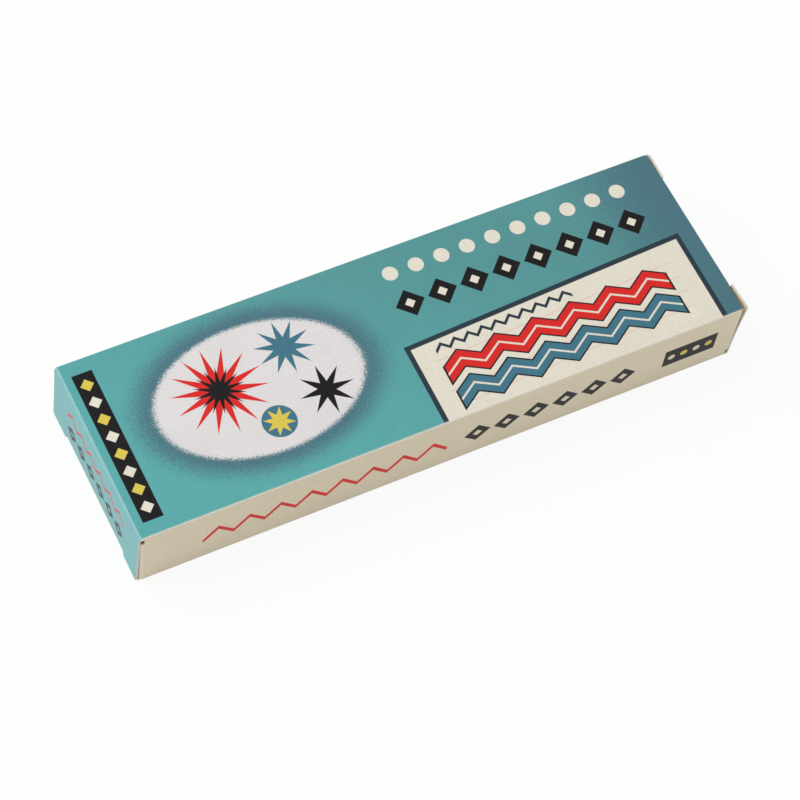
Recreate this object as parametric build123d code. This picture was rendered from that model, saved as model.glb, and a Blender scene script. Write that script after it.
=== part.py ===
from build123d import *
import math
import os

# A boxed pair of UV invisible ink pens: a reverse-tuck folding carton with two capped light pens inside.
# Millimetres. The origin is the middle of the carton's bottom face, +X runs right and -Y is the front.
# A pen is built along +X from the tip of its lamp, and its heights are measured from its own axis.

# Cap of a pen, from the lamp in its tip to its open rim
cell_radius = 3.95
cell_thickness = 3.6
cell_count = 3
cell_gap = 0.05
cell_clearance = 0.1
holder_wall = 0.6
holder_clearance = 0.1
cap_wall = 1.05
head_length = 15.0
head_spigot = 1.7
lamp_radius = 2.5
lamp_length = 8.6
lamp_flange_radius = 2.9
lamp_flange = 1.0
lamp_clearance = 0.05
lead_radius = 0.25
lead_pitch = 2.54
lead_bend = 1.0
contact_thickness = 0.25
contact_clearance = 0.05
strip_width = 2.2
strip_thickness = 0.2
bulkhead = 1.2
rim_wall = 1.0
cap_stop_gap = 0.1

# Push button on the cap's front side
button_radius = 2.1
button_flange_radius = 2.6
button_flange = 0.5
button_height = 0.7
button_travel = 0.6
button_clearance = 0.1
button_edge = 0.35
button_to_cells = 2.0
button_to_head = 0.3

# Bow clip, rooted in the light head
clip_width = 4.0
clip_thickness = 1.6
clip_root_along = 5.6
clip_root_height = 3.75
clip_bend_along = 18.5
clip_bend_height = 12.0
clip_bow_radius = 22.0
clip_end_setback = 3.5
clip_end_gap = 0.25
clip_flex = 4.0
clip_slot_clearance = 0.1

# Writing end and barrel
nib_radius = 1.0
nib_point = 2.6
nib_room = 1.6
nib_clearance = 0.03
nib_in_reservoir = 4.0
nib_end_gap = 0.05
nose_cone = 4.5
nose_tip_wall = 0.7
nose_step = 0.45
nose_seat = 6.0
nose_seat_radius = 4.15
nose_seat_clearance = 0.05
nose_spigot = 8.5
liner_clearance = 0.35
barrel_length = 82.5
barrel_front_radius = 4.6
barrel_tail_radius = 3.6
barrel_wall = 1.0
barrel_tail_round = 4.5
socket_clearance = 0.03
reservoir_radius = 2.45
reservoir_end_gap = 0.4

# Carton board and the room that it leaves round the pens
board = 0.45
pen_pitch = 16.0
pen_floor_gap = 0.25
roof_room = 1.65
tail_room = 2.05
tip_room = 22.9
dust_length = 9.0
dust_to_pen = 2.2

# Carton ends
tuck_clearance = 0.6
tongue_length = 8.0
tongue_droop = 16.0
tongue_corner = 4.5
tongue_side_gap = 0.6
dust_clearance = 0.15
dust_root_gap = 0.4
dust_taper = 0.5
dust_tongue_gap = 0.9
dust_corner = 2.0
closure_side_gap = 0.3
corner_cut_back = 1.2
corner_cut_width = 7.8
corner_cut_ramp = 1.0
glue_flap_height = 12.0
glue_flap_setback = 2.5
glue_flap_slant = 4.0
raw_edge_gap = 0.2

# Places along a pen, from the tip of the lamp
cap_bore = cell_radius + cell_clearance + holder_wall + holder_clearance
cap_head_radius = cap_bore + cap_wall
nose_bore = nose_seat_radius + nose_seat_clearance
cap_rim_radius = nose_bore + rim_wall
spigot_end = head_length + head_spigot
button_along = spigot_end + button_to_head + button_flange_radius
front_contact = button_along + button_flange_radius + button_to_cells
cells_start = front_contact + contact_thickness + contact_clearance
cells_end = cells_start + cell_count * cell_thickness + (cell_count - 1) * cell_gap
rear_contact = cells_end + contact_clearance
bulkhead_start = rear_contact + contact_thickness + contact_clearance
cap_floor = bulkhead_start + bulkhead
nib_tip = cap_floor + nib_room
nose_tip = nib_tip + nib_point
nose_shoulder = nose_tip + nose_cone
seam = nose_shoulder + nose_seat
cap_rim = seam - cap_stop_gap
socket_end = seam + nose_spigot + reservoir_end_gap
pen_length = seam + barrel_length
tail_start = pen_length - barrel_tail_round

# Places in the carton
carton_length = 2 * board + tail_room + pen_length + tip_room
carton_width = pen_pitch + 2 * (cap_head_radius + dust_to_pen + dust_length)
carton_height = 2 * board + pen_floor_gap + cap_head_radius + clip_bend_height + roof_room
right_end = carton_length / 2
rear_face = carton_width / 2
closure_height = carton_height - board - tuck_clearance
dust_face = right_end - board - dust_clearance
pen_axis_height = board + pen_floor_gap + cap_head_radius
pen_tip = -right_end + board + tip_room

UP = Vector(0, 0, 1)
DOWN = Vector(0, 0, -1)
FRONT = Vector(0, -1, 0)
REAR = Vector(0, 1, 0)
RIGHT = Vector(1, 0, 0)
LEFT = Vector(-1, 0, 0)


def block(x, y, z):
    """A box from three (low, high) pairs."""
    low, high = zip(x, y, z)
    size = [b - a for a, b in zip(low, high)]
    middle = [(a + b) / 2 for a, b in zip(low, high)]
    return Pos(*middle) * Box(*size)


def turned(*points):
    """A solid of revolution about the X axis from (along, radius) points."""
    return revolve(make_face(Polyline(*points, close=True)), Axis.X)


def rod(radius, start, end):
    """A round bar along the X axis."""
    return turned((start, 0), (end, 0), (end, radius), (start, radius))


def mitred(panel, normal, creases):
    """Cuts a panel's edges to meet its neighbours: each crease is a point on the outer edge and a normal."""
    for point, neighbour in creases:
        plane = Plane(origin=point, z_dir=neighbour - normal)
        panel = split(panel, bisect_by=plane, keep=Keep.BOTTOM)
    return panel


def to_left_end(piece):
    """Turns a piece of the right end half a turn about Y, through the carton's middle."""
    middle = Axis((0, 0, carton_height / 2), (0, 1, 0))
    return piece.rotate(middle, 180)


def free_end_cuts(z):
    """The two corner cut-backs of a panel's free right edge."""
    reach = corner_cut_back + board
    inner = rear_face - corner_cut_width
    outline = [
        (right_end + reach, inner),
        (right_end, inner),
        (right_end - corner_cut_back, inner + corner_cut_ramp),
        (right_end - corner_cut_back, rear_face + reach),
        (right_end + reach, rear_face + reach),
    ]
    face = make_face(Polyline(*outline, close=True))
    corner = Pos(0, 0, z[0] - board) * extrude(face, z[1] - z[0] + 2 * board)
    return corner + mirror(corner, about=Plane.XZ)


def top_panel():
    """The top, creased to both sides and to the left closure, with a free right edge."""
    z = (carton_height - board, carton_height)
    panel = block((-right_end, right_end), (-rear_face, rear_face), z) - free_end_cuts(z)
    creases = [
        ((0, rear_face, carton_height), REAR),
        ((0, -rear_face, carton_height), FRONT),
        ((-right_end, 0, carton_height), LEFT),
    ]
    return mitred(panel, UP, creases)


def bottom_panel():
    """The bottom, creased to the front side, the glue flap and the right closure, with a free left edge."""
    z = (0, board)
    crease = rear_face - board
    panel = block((-right_end, right_end), (-rear_face, crease), z)
    panel -= mirror(free_end_cuts(z), about=Plane.YZ)
    creases = [
        ((0, crease, 0), REAR),
        ((0, -rear_face, 0), FRONT),
        ((right_end, 0, 0), RIGHT),
    ]
    return mitred(panel, DOWN, creases)


def front_side_panel():
    """The front side, creased to top, bottom and the two front dust flaps."""
    panel = block((-dust_face, dust_face), (-rear_face, -rear_face + board), (0, carton_height))
    creases = [
        ((0, -rear_face, carton_height), UP),
        ((0, -rear_face, 0), DOWN),
        ((dust_face, -rear_face, 0), RIGHT),
        ((-dust_face, -rear_face, 0), LEFT),
    ]
    return mitred(panel, FRONT, creases)


def rear_side_panel():
    """The rear side, creased to the top and the two rear dust flaps, with a raw lower edge."""
    panel = block(
        (-dust_face, dust_face),
        (rear_face - board, rear_face),
        (raw_edge_gap, carton_height),
    )
    creases = [
        ((0, rear_face, carton_height), UP),
        ((dust_face, rear_face, 0), RIGHT),
        ((-dust_face, rear_face, 0), LEFT),
    ]
    return mitred(panel, REAR, creases)


def glue_flap():
    """The seam flap, creased to the bottom and glued to the inner face of the rear side."""
    end = right_end - glue_flap_setback
    outline = Polyline(
        (-end, 0),
        (end, 0),
        (end - glue_flap_slant, glue_flap_height),
        (-end + glue_flap_slant, glue_flap_height),
        close=True,
    )
    outer = rear_face - board
    flap = Pos(0, outer, 0) * Rot(X=90) * extrude(make_face(outline), board)
    return mitred(flap, REAR, [((0, outer, 0), DOWN)])


def closure():
    """The right closure, creased to the bottom, with the tuck fold at its upper edge."""
    half = rear_face - closure_side_gap
    panel = block((right_end - board, right_end), (-half, half), (0, closure_height))
    creases = [((right_end, 0, 0), DOWN), ((right_end, 0, closure_height), tongue_normal())]
    return mitred(panel, RIGHT, creases)


def tongue_normal():
    """Outward normal of the right tongue, which droops from its fold."""
    droop = math.radians(tongue_droop)
    return Vector(-math.sin(droop), 0, math.cos(droop))


def tongue():
    """The right tuck tongue, with rounded corners, under the top panel."""
    half = rear_face - board - tongue_side_gap
    flat = block(
        (right_end - tongue_length, right_end + board),
        (-half, half),
        (closure_height - board, closure_height),
    )
    corners = flat.edges().filter_by(Axis.Z).group_by(Axis.X)[0]
    flat = fillet(corners, tongue_corner)
    fold = Axis((right_end, 0, closure_height), (0, 1, 0))
    crease = ((right_end, 0, closure_height), RIGHT)
    return mitred(flat.rotate(fold, -tongue_droop), tongue_normal(), [crease])


def dust_flap(side):
    """A right dust flap, behind the closure: side is -1 at the front and 1 at the rear."""
    low = board + dust_root_gap
    high = closure_height - board - dust_tongue_gap
    outline = make_face(Polyline(
        (0, low),
        (dust_length, low + dust_taper * dust_length),
        (dust_length, high),
        (0, high),
        close=True,
    ))
    tip = outline.vertices().group_by(Axis.X)[-1]
    outline = fillet(tip, dust_corner)
    flap = extrude(outline, board)
    # The sketch's X runs inwards from the side and its Y up. The thickness goes in from the outer face.
    inwards = Plane(origin=(dust_face, rear_face, 0), x_dir=(0, -1, 0), z_dir=(-1, 0, 0))
    flap = inwards * flap
    if side < 0:
        flap = mirror(flap, about=Plane.XZ)
    own_side = REAR if side > 0 else FRONT
    return mitred(flap, RIGHT, [((dust_face, side * rear_face, 0), own_side)])


def barrel():
    """The ink tube: tapered, open at the seam, with a closed round tail."""
    slope = (barrel_tail_radius - barrel_front_radius) / (tail_start - seam)
    shoulder = barrel_front_radius + slope * (socket_end - seam)
    outside = Polyline(
        (pen_length, 0),
        (seam, 0),
        (seam, barrel_front_radius),
        (tail_start, barrel_tail_radius),
    )
    tail = EllipticalCenterArc((tail_start, 0), barrel_tail_round, barrel_tail_radius, 0, arc_size=90)
    solid = revolve(make_face(outside + tail), Axis.X)
    core = turned(
        (socket_end, 0),
        (tail_start, 0),
        (tail_start, barrel_tail_radius - barrel_wall),
        (socket_end, shoulder - barrel_wall),
    )
    return solid - core - rod(barrel_front_radius - barrel_wall, seam, socket_end)


def ink_reservoir():
    """The fibre rod that holds the ink, bored for the nib's root."""
    start = socket_end + reservoir_end_gap
    body = rod(reservoir_radius, start, tail_start - reservoir_end_gap)
    return body - rod(nib_radius + nib_clearance, start, start + nib_in_reservoir)


def nose_radius(along):
    """Outer radius of the nose's cone at a place along the pen."""
    tip = nib_radius + nose_tip_wall
    foot = nose_seat_radius - nose_step
    return tip + (foot - tip) * (along - nose_tip) / nose_cone


def nose_section():
    """The plug in the barrel's mouth: a cone, the seat that the cap slides on, and a spigot."""
    spigot_radius = barrel_front_radius - barrel_wall - socket_clearance
    body = turned(
        (nose_tip, 0),
        (seam + nose_spigot, 0),
        (seam + nose_spigot, spigot_radius),
        (seam, spigot_radius),
        (seam, nose_seat_radius),
        (nose_shoulder, nose_seat_radius),
        (nose_shoulder, nose_radius(nose_shoulder)),
        (nose_tip, nose_radius(nose_tip)),
    )
    return body - rod(nib_radius + nib_clearance, nose_tip, seam + nose_spigot)


def nib():
    """The fibre point, with a round tip, running back into the reservoir."""
    end = socket_end + reservoir_end_gap + nib_in_reservoir - nib_end_gap
    outside = Polyline(
        (nib_tip, 0),
        (end, 0),
        (end, nib_radius),
        (nib_tip + nib_radius, nib_radius),
    )
    point = EllipticalCenterArc((nib_tip + nib_radius, 0), nib_radius, nib_radius, 90, arc_size=90)
    return revolve(make_face(outside + point), Axis.X)


def cap_radius(along):
    """Outer radius of the cap body, which tapers from the light head to the rim."""
    share = (along - head_length) / (cap_rim - head_length)
    return cap_head_radius + (cap_rim_radius - cap_head_radius) * share


def cap_shell():
    """The cap body: a tapered tube with a bulkhead between the light and the nib, and a button hole."""
    body = turned(
        (head_length, 0),
        (cap_rim, 0),
        (cap_rim, cap_rim_radius),
        (head_length, cap_head_radius),
    )
    body -= rod(cap_bore, head_length, bulkhead_start)
    body -= rod(nose_bore, cap_floor, cap_rim)
    hole = Cylinder(button_radius + button_clearance, cap_head_radius * 2)
    return body - Pos(button_along, -cap_head_radius, 0) * Rot(X=90) * hole


def inner_cap():
    """The soft liner that closes round the nose so that the nib stays wet."""
    radius = nose_bore - nose_seat_clearance
    mouth = nose_shoulder - liner_clearance
    well = nib_tip - liner_clearance
    cup = rod(radius, cap_floor, mouth)
    return cup - turned(
        (well, 0),
        (mouth, 0),
        (mouth, nose_radius(mouth) + liner_clearance),
        (nose_tip, nose_radius(nose_tip) + liner_clearance),
        (well, nib_radius + liner_clearance),
    )


def clip_arm(thickness, width):
    """The clip's bow in side view, swept across its width. Its round root is the flexing point."""
    root = (clip_root_along, clip_root_height)
    end_along = seam - clip_end_setback
    end = (end_along, cap_radius(end_along) + clip_end_gap + clip_thickness / 2)
    bow = FilletPolyline(root, (clip_bend_along, clip_bend_height), end, radius=clip_bow_radius)
    side = trace(bow, thickness)
    side += Pos(*root) * Circle(thickness / 2)
    side += Pos(*end) * Circle(thickness / 2)
    return Rot(X=90) * extrude(side, width / 2, both=True)


def clip():
    """The bow clip."""
    return clip_arm(clip_thickness, clip_width)


def light_head():
    """The cap's rounded end: the lamp's bore, a spigot into the cap body, and the clip's slot."""
    flange_start = lamp_length - lamp_flange - lamp_clearance
    outside = Polyline(
        (0, 0),
        (spigot_end, 0),
        (spigot_end, cap_bore - holder_clearance),
        (head_length, cap_bore - holder_clearance),
        (head_length, cap_head_radius),
    )
    dome = EllipticalCenterArc((head_length, 0), head_length, cap_head_radius, 90, arc_size=90)
    body = revolve(make_face(outside + dome), Axis.X)
    body -= rod(lamp_radius + lamp_clearance, 0, flange_start)
    body -= rod(cap_bore - holder_clearance - cap_wall, flange_start, spigot_end)
    slot = clip_arm(clip_thickness + 2 * clip_slot_clearance, clip_width + 2 * clip_slot_clearance)
    root = Axis((clip_root_along, 0, clip_root_height), (0, -1, 0))
    for lift in (0, clip_flex / 2, clip_flex):
        body -= slot.rotate(root, lift)
    return body


def uv_led():
    """The lamp: a clear round-nosed body with a flange."""
    flange_start = lamp_length - lamp_flange
    outside = Polyline(
        (0, 0),
        (lamp_length, 0),
        (lamp_length, lamp_flange_radius),
        (flange_start, lamp_flange_radius),
        (flange_start, lamp_radius),
        (lamp_radius, lamp_radius),
    )
    lens = EllipticalCenterArc((lamp_radius, 0), lamp_radius, lamp_radius, 90, arc_size=90)
    return revolve(make_face(outside + lens), Axis.X)


def wire(*points):
    """A round wire along straight runs joined by bends, drawn in the plane of the pen's axis and height."""
    path = FilletPolyline(*points, radius=lead_bend)
    section = Plane(origin=path @ 0, z_dir=path % 0) * Circle(lead_radius)
    return sweep(section, path)


def contact_strip_height():
    """Underside of the rear contact's long strip, which lies in the holder's slot above the cells."""
    return cell_radius + cell_clearance + contact_clearance


def led_leads():
    """The lamp's two wires: one up to the rear contact's strip, one to the switch blade."""
    offset = lead_pitch / 2
    touch = contact_strip_height() - lead_radius - contact_clearance
    rise = button_along - button_flange_radius
    upper = wire(
        (lamp_length, offset),
        (rise, offset),
        (rise + touch - offset, touch),
        (front_contact, touch),
    )
    reach = button_along + button_flange_radius
    lower = wire(
        (lamp_length, -offset),
        (rise, -offset),
        (rise + offset, 0),
        (reach, 0),
    )
    return Rot(X=90) * (upper + lower)


def button_cells():
    """The cells, one solid each."""
    step = cell_thickness + cell_gap
    starts = [cells_start + step * i for i in range(cell_count)]
    return [rod(cell_radius, start, start + cell_thickness) for start in starts]


def cell_holder():
    """The sleeve round the cells, with a slot along its upper side for the contact strip."""
    outer = cap_bore - holder_clearance
    body = rod(outer, front_contact, bulkhead_start)
    body -= rod(outer - holder_wall, front_contact, bulkhead_start)
    half = strip_width / 2 + contact_clearance
    return body - block((front_contact, bulkhead_start), (-half, half), (0, outer + holder_wall))


def cell_contact():
    """The rear contact: a disc behind the cells, and a strip that comes forward over them."""
    low = contact_strip_height()
    high = low + strip_thickness
    half = strip_width / 2
    rear = (rear_contact, rear_contact + contact_thickness)
    disc = rod(cell_radius - contact_clearance, *rear)
    riser = block(rear, (-half, half), (0, high))
    front = button_along + button_flange_radius
    return disc + riser + block((front, rear[1]), (-half, half), (low, high))


def button_foot():
    """Depth of the button's flange from the pen's axis: it just clears the round bore."""
    top = math.sqrt((cap_bore - contact_clearance) ** 2 - button_flange_radius ** 2)
    return top - button_flange


def switch_strip():
    """The front contact: a disc before the cells, and a blade that reaches under the button."""
    disc = rod(cell_radius - contact_clearance, front_contact, front_contact + contact_thickness)
    top = -(button_foot() - button_travel - holder_clearance)
    half = strip_width / 2
    start = button_along - button_radius
    return disc + block((start, front_contact), (top, top + strip_thickness), (-half, half))


def light_button():
    """The push button: a round key with a flange behind the cap's wall."""
    foot = button_foot()
    key_top = cap_radius(button_along) + button_height
    key = extrude(Circle(button_radius), key_top - foot)
    key = fillet(key.edges().group_by(Axis.Z)[-1], button_edge)
    key += extrude(Circle(button_flange_radius), button_flange)
    return Pos(button_along, 0, 0) * Rot(X=90) * Pos(0, 0, foot) * key


CARTON = {
    "top_panel": top_panel,
    "bottom_panel": bottom_panel,
    "front_side_panel": front_side_panel,
    "rear_side_panel": rear_side_panel,
    "glue_flap": glue_flap,
}

RIGHT_END = {
    "end_flap": closure(),
    "tuck_tongue": tongue(),
    "front_dust_flap": dust_flap(-1),
    "rear_dust_flap": dust_flap(1),
}

PEN = [
    barrel,
    ink_reservoir,
    nose_section,
    nib,
    cap_shell,
    inner_cap,
    light_head,
    clip,
    uv_led,
    led_leads,
    button_cells,
    cell_holder,
    cell_contact,
    switch_strip,
    light_button,
]

# The red pen lies at the rear and the blue one at the front.
PEN_SIDES = {"red": 1, "blue": -1}


def save(node, solids):
    """Writes one node's solids to its file."""
    shape = solids[0] if len(solids) == 1 else Compound(children=solids)
    export_step(shape, f"parts/{node}.step")


os.makedirs("parts", exist_ok=True)
for node, make in CARTON.items():
    save(node, make().solids())
for node, piece in RIGHT_END.items():
    save(f"right_{node}", piece.solids())
    save(f"left_{node}", to_left_end(piece).solids())
for make in PEN:
    made = make()
    pieces = made if isinstance(made, list) else [made]
    for colour, side in PEN_SIDES.items():
        place = Pos(pen_tip, side * pen_pitch / 2, pen_axis_height)
        placed = [place * piece for piece in pieces]
        save(f"{colour}_{make.__name__}", [solid for piece in placed for solid in piece.solids()])
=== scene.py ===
import math

import bmesh
import bpy
from mathutils import Matrix, Vector


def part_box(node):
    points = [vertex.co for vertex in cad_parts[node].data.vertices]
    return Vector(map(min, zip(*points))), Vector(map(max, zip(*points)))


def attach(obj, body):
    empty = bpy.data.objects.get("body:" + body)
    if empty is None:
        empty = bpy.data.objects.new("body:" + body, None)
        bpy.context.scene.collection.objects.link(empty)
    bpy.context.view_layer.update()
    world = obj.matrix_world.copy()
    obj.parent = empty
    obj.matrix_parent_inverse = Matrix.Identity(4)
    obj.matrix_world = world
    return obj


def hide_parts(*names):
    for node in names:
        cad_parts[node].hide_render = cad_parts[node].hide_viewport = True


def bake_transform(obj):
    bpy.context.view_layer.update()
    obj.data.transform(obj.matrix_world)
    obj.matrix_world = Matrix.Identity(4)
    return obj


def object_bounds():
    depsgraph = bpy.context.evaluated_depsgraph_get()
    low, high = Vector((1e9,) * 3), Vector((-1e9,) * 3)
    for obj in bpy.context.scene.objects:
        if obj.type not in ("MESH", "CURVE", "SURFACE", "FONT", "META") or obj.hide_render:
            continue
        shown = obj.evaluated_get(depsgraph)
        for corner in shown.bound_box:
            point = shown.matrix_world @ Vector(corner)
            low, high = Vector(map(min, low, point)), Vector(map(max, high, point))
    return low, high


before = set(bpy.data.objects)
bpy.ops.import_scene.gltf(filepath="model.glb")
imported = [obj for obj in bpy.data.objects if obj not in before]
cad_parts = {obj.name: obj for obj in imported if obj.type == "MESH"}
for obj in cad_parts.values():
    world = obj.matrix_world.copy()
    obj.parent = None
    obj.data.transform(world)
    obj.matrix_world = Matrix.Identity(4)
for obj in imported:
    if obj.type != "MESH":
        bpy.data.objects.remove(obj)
cad_low, cad_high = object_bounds()

# The stage: a plain white sweep under the closed carton, a broad soft lamp behind its left end and even room
# light, so that the top is brightest, the left end comes next and the front side lies in shade.
mm = 0.001
room_light = 0.62
room_tint = (0.97, 0.985, 1, 1)
floor_size = 6
floor_gap = 0.02 * mm
floor_grey = (0.9, 0.9, 0.9, 1)
floor_roughness = 0.9
floor_white = 0.9
lamp_place = Vector((-0.55, 0.5, 0.95))
lamp_power = 7.5
lamp_size = 0.9


def feed(socket, value):
    """Links a socket to another one, or sets its own value."""
    if isinstance(value, bpy.types.NodeSocket):
        socket.id_data.links.new(value, socket)
    else:
        socket.default_value = value


def add_node(kind, values, tree=None, **settings):
    """Adds a shader node with its settings and its inputs' values, in the tree that those come from."""
    if tree is None:
        tree = next(v.id_data for v in values.values() if isinstance(v, bpy.types.NodeSocket))
    node = tree.nodes.new(f"ShaderNode{kind}")
    for name, setting in settings.items():
        setattr(node, name, setting)
    for label, value in values.items():
        feed(node.inputs[label], value)
    return node


def calc(operation, *values):
    """A number worked out from numbers."""
    return add_node("Math", dict(enumerate(values)), operation=operation).outputs[0]


def seen_share(tree):
    """One where a ray comes from the camera, a reflection or a clear piece, and nought elsewhere."""
    ray = add_node("LightPath", {}, tree).outputs
    direct = calc("MAXIMUM", ray["Is Camera Ray"], ray["Is Glossy Ray"])
    return calc("MAXIMUM", direct, ray["Is Transmission Ray"])


def new_material(name):
    """A material and its bare Principled shader."""
    material = bpy.data.materials.new(name)
    material.use_nodes = True
    return material, material.node_tree.nodes["Principled BSDF"]


def add_start(kind, name, scale=(1, 1, 1), **settings):
    """Adds a primitive with nothing else selected, fixes its place in its mesh, and opens it for edits."""
    bpy.ops.object.select_all(action="DESELECT")
    getattr(bpy.ops.mesh, f"primitive_{kind}_add")(**settings)
    piece = bpy.context.object
    piece.scale = scale
    piece.name = name
    piece.data.name = name
    bpy.ops.object.transform_apply(location=True, rotation=True, scale=True)
    bpy.ops.object.mode_set(mode="EDIT")
    return piece


world = bpy.data.worlds.new("studio")
world.use_nodes = True
bpy.context.scene.world = world
tree = world.node_tree
tree.nodes.clear()
backdrop = add_node("Background", {"Color": (1, 1, 1, 1), "Strength": 1}, tree)
ambient = add_node("Background", {"Color": room_tint, "Strength": room_light}, tree)
choice = add_node("MixShader", {0: seen_share(tree), 1: ambient.outputs[0], 2: backdrop.outputs[0]})
add_node("OutputWorld", {"Surface": choice.outputs[0]})

floor = add_start("plane", "floor", size=floor_size, location=(0, 0, -floor_gap))
bpy.ops.object.mode_set(mode="OBJECT")
paper, skin = new_material("sweep_paper")
tree = paper.node_tree
feed(skin.inputs["Base Color"], floor_grey)
feed(skin.inputs["Roughness"], floor_roughness)
glow = add_node("Emission", {}, tree)
share = calc("MULTIPLY", seen_share(tree), floor_white)
choice = add_node("MixShader", {0: share, 1: skin.outputs[0], 2: glow.outputs[0]})
feed(tree.nodes["Material Output"].inputs["Surface"], choice.outputs[0])
floor.data.materials.append(paper)

softbox = bpy.data.lights.new("softbox", "AREA")
softbox.size = lamp_size
softbox.energy = lamp_power
lamp = bpy.data.objects.new("softbox", softbox)
bpy.context.collection.objects.link(lamp)
lamp.location = lamp_place
lamp.rotation_euler = lamp_place.to_track_quat("Z", "Y").to_euler()

view_azimuth = math.radians(-35.609)
view_elevation = math.radians(59.546)
view_roll = math.radians(10.975)
view_distance = 731.317 * mm
view_offset = (0.647 * mm, -4.562 * mm)
back = Vector((
    math.sin(view_azimuth) * math.cos(view_elevation),
    -math.cos(view_azimuth) * math.cos(view_elevation),
    math.sin(view_elevation),
))
level = Vector((0, 0, 1)).cross(back).normalized()
upright = back.cross(level)
right = level * math.cos(view_roll) + upright * math.sin(view_roll)
up = upright * math.cos(view_roll) - level * math.sin(view_roll)
lens = bpy.data.cameras.new("camera")
lens.lens = 134.08
lens.sensor_width = 36
camera = bpy.data.objects.new("camera", lens)
bpy.context.collection.objects.link(camera)
place = right * view_offset[0] + up * view_offset[1] + back * view_distance
camera.matrix_world = Matrix.Translation(place) @ Matrix((right, up, back)).transposed().to_4x4()
bpy.context.scene.camera = camera
bpy.context.scene.view_settings.view_transform = "Standard"

# The sleeve: top, front, bottom, glue flap and rear of the carton are one sheet of white-lined board, printed
# on its outer face, creased four times and glued along the rear. The creases are rounded, the ends die-cut.
right_end = cad_high.x
rear_face = cad_high.y
top_face = cad_high.z
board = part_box("top_panel")[1].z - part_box("top_panel")[0].z
glue_low, glue_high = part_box("glue_flap")
closure_face = right_end + 0.3 * mm
dust_face = closure_face - board
free_edge = right_end + 0.2 * mm
crease_radius = 0.5 * mm
closure_radius = 0.8 * mm
dust_radius = 0.55 * mm
crease_steps = 6
side_end = dust_face - dust_radius
raw_edge = 0.2 * mm
cut_back = 0.25 * mm
cut_line = rear_face - 7.8 * mm
cut_ramp = 0.4 * mm
edge_skew = 0.009
corner_spring = 0.3 * mm
spring_curve = 1.7
hole_near = 0.6 * mm
hole_far = 2.4 * mm
hole_depth = 0.4 * mm
glue_slant = 4.0 * mm
top_bow = 0.3 * mm
side_bow = 0.25 * mm
long_cuts = [step * 8 * mm for step in range(-9, 10)]
cross_cuts = [step * 5 * mm for step in range(-4, 5)]
height_cuts = [step * top_face / 4 for step in (1, 2, 3)]
tiny = 0.01 * mm


def choose(kind, test):
    """Selects the faces, edges or verts in edit mode whose middle passes the test."""
    bpy.ops.mesh.select_all(action="DESELECT")
    bpy.ops.mesh.select_mode(type={"faces": "FACE", "edges": "EDGE", "verts": "VERT"}[kind])
    mesh = bpy.context.edit_object.data
    sheet = bmesh.from_edit_mesh(mesh)
    for part in getattr(sheet, kind):
        corners = [part] if kind == "verts" else part.verts
        middle = sum((v.co for v in corners), Vector()) / len(corners)
        part.select_set(test(middle))
    sheet.select_flush_mode()
    bmesh.update_edit_mesh(mesh)


def cut(point, normal, test):
    """Cuts the faces that pass the test along a plane."""
    choose("faces", test)
    bpy.ops.mesh.bisect(plane_co=point, plane_no=normal, threshold=0.0001 * mm)


def cut_at(axis, places, test=lambda c: True):
    """Cuts the faces that pass the test square to an axis, at each of the places along it."""
    normal = Vector([float(name == axis) for name in "xyz"])
    for place in places:
        cut(normal * place, normal, test)


def trim(point, normal, test):
    """Cuts the faces that pass the test along a plane and drops what lies on the normal's side of it."""
    cut(point, normal, test)
    point, normal = Vector(point), Vector(normal)
    choose("faces", lambda c: test(c) and (c - point).dot(normal) > 0)
    bpy.ops.mesh.delete(type="FACE")


def pull_edges(*step):
    """Draws new faces out of the chosen edges."""
    bpy.ops.mesh.extrude_edges_move(TRANSFORM_OT_translate={"value": step})


def is_top(c):
    return c.z > top_face - tiny


def is_bottom(c):
    return c.z < tiny


def is_side(c):
    return abs(c.y) > rear_face - tiny


def is_rear(c):
    return c.y > rear_face - tiny


def is_glue(c):
    return abs(c.y - glue_high.y) < tiny and c.z > crease_radius


sleeve = add_start(
    "cube", "carton_sleeve", size=1, location=(0, 0, top_face / 2),
    scale=(2 * free_edge, 2 * rear_face, top_face),
)
choose("faces", lambda c: abs(c.x) > free_edge - tiny)
bpy.ops.mesh.delete(type="FACE")
# The rear panel lies outside the glue flap, so the sheet is parted along the lower rear corner.
choose("faces", is_rear)
bpy.ops.mesh.split()
trim((0, 0, raw_edge), (0, 0, -1), is_rear)
trim((0, glue_high.y, 0), (0, 1, 0), is_bottom)
choose("edges", lambda c: is_bottom(c) and c.y > glue_high.y - tiny)
pull_edges(0, 0, glue_high.z)
bpy.ops.mesh.select_all(action="SELECT")
bpy.ops.mesh.remove_doubles(threshold=tiny)
long_creases = [(-rear_face, 0), (-rear_face, top_face), (rear_face, top_face), (glue_high.y, 0)]
choose("edges", lambda c: any((Vector((c.y, c.z)) - Vector(line)).length < tiny for line in long_creases))
bpy.ops.mesh.bevel(offset=crease_radius, segments=crease_steps, affect="EDGES")

# Each panel and crease is trimmed to its own length. Beside each closure's crease the sides' corners run on
# past the dust flaps, and a small hole parts the two.
trim((-closure_face + closure_radius, 0, 0), (-1, 0, 0), is_top)
trim((closure_face - closure_radius, 0, 0), (1, 0, 0), is_bottom)
spans = ((-1, hole_near, dust_face), (hole_near, hole_far, side_end - hole_depth), (hole_far, 1, side_end))
for sign in (-1, 1):
    crease_height = 0 if sign > 0 else top_face
    cut_at("z", [crease_height + sign * edge for edge in (hole_near, hole_far)], is_side)
    for near, far, length in spans:
        trim(
            (sign * length, 0, 0), (sign, 0, 0),
            lambda c: not is_top(c) and not is_bottom(c) and near < sign * (c.z - crease_height) < far,
        )
    slant = Vector((sign * (glue_high.z - glue_low.z), 0, glue_slant))
    trim((sign * glue_high.x, 0, 0), slant, is_glue)
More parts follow.
